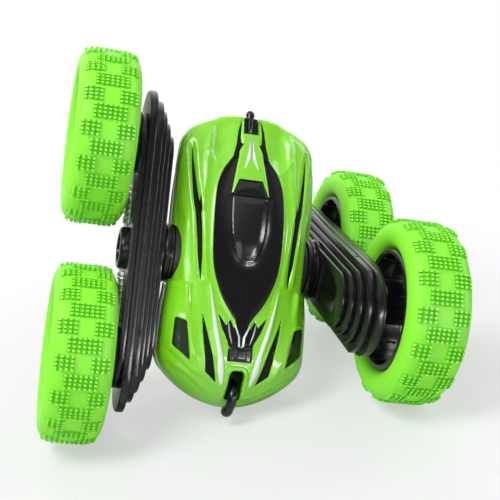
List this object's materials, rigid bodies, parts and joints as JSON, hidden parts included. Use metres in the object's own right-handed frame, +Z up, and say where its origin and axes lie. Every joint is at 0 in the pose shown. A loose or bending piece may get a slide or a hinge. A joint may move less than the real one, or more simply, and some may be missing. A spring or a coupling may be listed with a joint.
{
  "type": "rc stunt car",
  "caption": "Double-sided radio controlled stunt car: a low green body between two swing arms, each carrying geared wheels with studded tyres, posed standing on three wheels.",
  "frame": {"origin": "on the floor, under the middle of the standing car's bounding box", "axes": "+Z up from the floor the car stands on, +X along the car's longest side (from the raised left arm to the right arm), +Y away from the side that shows the upper shell"},
  "size_m": [0.191, 0.178, 0.1689],
  "materials": {
    "green_shell": "glossy moulded lime green",
    "canopy_black": "high gloss black",
    "chassis_grey": "satin",
    "black_detail": "satin black",
    "lens_clear": "clear",
    "led_white": "translucent white",
    "board_green": "solder mask",
    "battery_wrap": "shrink wrap",
    "motor_steel": "plated",
    "bush_brass": "turned",
    "screw_steel": "plated",
    "wire_red": "wire insulation",
    "pinion_brass": "cut",
    "gear_plastic": "natural moulded",
    "shaft_steel": "ground",
    "arm_black": "satin black",
    "shock_silver": "silver coated",
    "tyre_green": "soft lime green",
    "rim_black": "satin black"
  },
  "bodies": {
    "body": {"upper_shell": "green_shell", "lower_shell": "green_shell", "upper_canopy": "canopy_black", "chassis_frame": "chassis_grey", "front_peg": "black_detail", "rear_peg": "black_detail", "left_headlight_lens": "lens_clear", "right_headlight_lens": "lens_clear", "headlight_leds": "led_white", "circuit_board": "board_green", "battery_pack": "battery_wrap", "left_motor": "motor_steel", "right_motor": "motor_steel", "pivot_bushes": "bush_brass", "power_switch": "black_detail", "shell_screws": "screw_steel", "wiring": "wire_red"},
    "battery_cover": {"battery_cover": "green_shell", "battery_cover_screw": "screw_steel"},
    "switch_slider": {"switch_slider": "black_detail"},
    "left_arm": {"left_arm_inner_cover": "arm_black", "left_arm_outer_cover": "arm_black", "left_arm_hub_cap": "arm_black", "left_arm_screws": "screw_steel", "left_shock_trim": "shock_silver"},
    "left_front_wheel": {"left_front_tyre": "tyre_green", "left_front_rim": "rim_black", "left_front_axle_gear": "gear_plastic", "left_front_wheel_screw": "screw_steel"},
    "left_rear_wheel": {"left_rear_tyre": "tyre_green", "left_rear_rim": "rim_black", "left_rear_axle_gear": "gear_plastic", "left_rear_wheel_screw": "screw_steel"},
    "left_front_idler": {"left_front_idler_gear": "gear_plastic"},
    "left_rear_idler": {"left_rear_idler_gear": "gear_plastic"},
    "left_drive": {"left_drive_shaft": "shaft_steel", "left_sun_gear": "gear_plastic"},
    "left_clutch": {"left_clutch_gear": "gear_plastic"},
    "left_reduction": {"left_reduction_gear": "gear_plastic"},
    "left_pinion": {"left_motor_pinion": "pinion_brass"},
    "right_arm": {"right_arm_inner_cover": "arm_black", "right_arm_outer_cover": "arm_black", "right_arm_hub_cap": "arm_black", "right_arm_screws": "screw_steel", "right_shock_trim": "shock_silver"},
    "right_front_wheel": {"right_front_tyre": "tyre_green", "right_front_rim": "rim_black", "right_front_axle_gear": "gear_plastic", "right_front_wheel_screw": "screw_steel"},
    "right_rear_wheel": {"right_rear_tyre": "tyre_green", "right_rear_rim": "rim_black", "right_rear_axle_gear": "gear_plastic", "right_rear_wheel_screw": "screw_steel"},
    "right_front_idler": {"right_front_idler_gear": "gear_plastic"},
    "right_rear_idler": {"right_rear_idler_gear": "gear_plastic"},
    "right_drive": {"right_drive_shaft": "shaft_steel", "right_sun_gear": "gear_plastic"},
    "right_clutch": {"right_clutch_gear": "gear_plastic"},
    "right_reduction": {"right_reduction_gear": "gear_plastic"},
    "right_pinion": {"right_motor_pinion": "pinion_brass"}
  },
  "joints": [
    {"name": "battery_cover_lift", "type": "slide", "parent": "body", "child": "battery_cover", "axis": [-0.1133, 0.9339, -0.3391], "range_m": [0, 0.03]},
    {"name": "power_switch_slide", "type": "slide", "parent": "body", "child": "switch_slider", "axis": [0.2959, 0.3576, 0.8858], "range_m": [0, 0.002]},
    {"name": "left_arm_swing", "type": "hinge", "parent": "body", "child": "left_arm", "pos_m": [-0.0269, 0, 0.07415], "axis": [0.9485, 0, -0.3168], "continuous": true},
    {"name": "left_front_wheel_spin", "type": "hinge", "parent": "left_arm", "child": "left_front_wheel", "pos_m": [-0.07222, -0.01752, 0.04104], "axis": [0.9485, 0, -0.3168], "continuous": true},
    {"name": "left_rear_wheel_spin", "type": "hinge", "parent": "left_arm", "child": "left_rear_wheel", "pos_m": [-0.04322, 0.01752, 0.12785], "axis": [0.9485, 0, -0.3168], "continuous": true},
    {"name": "left_front_idler_spin", "type": "hinge", "parent": "left_arm", "child": "left_front_idler", "pos_m": [-0.0425, -0.00751, 0.05869], "axis": [0.9485, 0, -0.3168], "continuous": true},
    {"name": "left_rear_idler_spin", "type": "hinge", "parent": "left_arm", "child": "left_rear_idler", "pos_m": [-0.03007, 0.00751, 0.09589], "axis": [0.9485, 0, -0.3168], "continuous": true},
    {"name": "left_drive_spin", "type": "hinge", "parent": "left_arm", "child": "left_drive", "pos_m": [-0.025, 0, 0.07352], "axis": [0.9485, 0, -0.3168], "continuous": true},
    {"name": "left_clutch_spin", "type": "hinge", "parent": "body", "child": "left_clutch", "pos_m": [-0.01599, 0, 0.07051], "axis": [0.9485, 0, -0.3168], "continuous": true},
    {"name": "left_reduction_spin", "type": "hinge", "parent": "body", "child": "left_reduction", "pos_m": [-0.01007, 0.00543, 0.0835], "axis": [0.9485, 0, -0.3168], "continuous": true},
    {"name": "left_pinion_spin", "type": "hinge", "parent": "body", "child": "left_pinion", "pos_m": [-0.00566, 0.00962, 0.09354], "axis": [0.9485, 0, -0.3168], "continuous": true},
    {"name": "right_arm_swing", "type": "hinge", "parent": "body", "child": "right_arm", "pos_m": [0.04139, 0, 0.05134], "axis": [0.9485, 0, -0.3168], "continuous": true},
    {"name": "right_front_wheel_spin", "type": "hinge", "parent": "right_arm", "child": "right_front_wheel", "pos_m": [0.07222, -0.049, 0.04104], "axis": [0.9485, 0, -0.3168], "continuous": true},
    {"name": "right_rear_wheel_spin", "type": "hinge", "parent": "right_arm", "child": "right_rear_wheel", "pos_m": [0.07222, 0.049, 0.04104], "axis": [0.9485, 0, -0.3168], "continuous": true},
    {"name": "right_front_idler_spin", "type": "hinge", "parent": "right_arm", "child": "right_front_idler", "pos_m": [0.05078, -0.021, 0.0482], "axis": [0.9485, 0, -0.3168], "continuous": true},
    {"name": "right_rear_idler_spin", "type": "hinge", "parent": "right_arm", "child": "right_rear_idler", "pos_m": [0.05078, 0.021, 0.0482], "axis": [0.9485, 0, -0.3168], "continuous": true},
    {"name": "right_drive_spin", "type": "hinge", "parent": "right_arm", "child": "right_drive", "pos_m": [0.0395, 0, 0.05197], "axis": [0.9485, 0, -0.3168], "continuous": true},
    {"name": "right_clutch_spin", "type": "hinge", "parent": "body", "child": "right_clutch", "pos_m": [0.03049, 0, 0.05498], "axis": [0.9485, 0, -0.3168], "continuous": true},
    {"name": "right_reduction_spin", "type": "hinge", "parent": "body", "child": "right_reduction", "pos_m": [0.03356, 0.00543, 0.06892], "axis": [0.9485, 0, -0.3168], "continuous": true},
    {"name": "right_pinion_spin", "type": "hinge", "parent": "body", "child": "right_pinion", "pos_m": [0.03607, 0.00962, 0.0796], "axis": [0.9485, 0, -0.3168], "continuous": true}
  ],
  "couplings": [
    {"joint": "left_rear_wheel_spin", "follows": "left_front_wheel_spin", "ratio": 1},
    {"joint": "left_front_idler_spin", "follows": "left_front_wheel_spin", "ratio": -1.3333},
    {"joint": "left_rear_idler_spin", "follows": "left_front_wheel_spin", "ratio": -1.3333},
    {"joint": "left_drive_spin", "follows": "left_front_wheel_spin", "ratio": 1.7778},
    {"joint": "left_clutch_spin", "follows": "left_front_wheel_spin", "ratio": 1.7778},
    {"joint": "left_reduction_spin", "follows": "left_front_wheel_spin", "ratio": -3.8519},
    {"joint": "left_pinion_spin", "follows": "left_front_wheel_spin", "ratio": 12.84},
    {"joint": "right_rear_wheel_spin", "follows": "right_front_wheel_spin", "ratio": 1},
    {"joint": "right_front_idler_spin", "follows": "right_front_wheel_spin", "ratio": -1.3333},
    {"joint": "right_rear_idler_spin", "follows": "right_front_wheel_spin", "ratio": -1.3333},
    {"joint": "right_drive_spin", "follows": "right_front_wheel_spin", "ratio": 1.7778},
    {"joint": "right_clutch_spin", "follows": "right_front_wheel_spin", "ratio": 1.7778},
    {"joint": "right_reduction_spin", "follows": "right_front_wheel_spin", "ratio": -3.8519},
    {"joint": "right_pinion_spin", "follows": "right_front_wheel_spin", "ratio": 12.84}
  ]
}
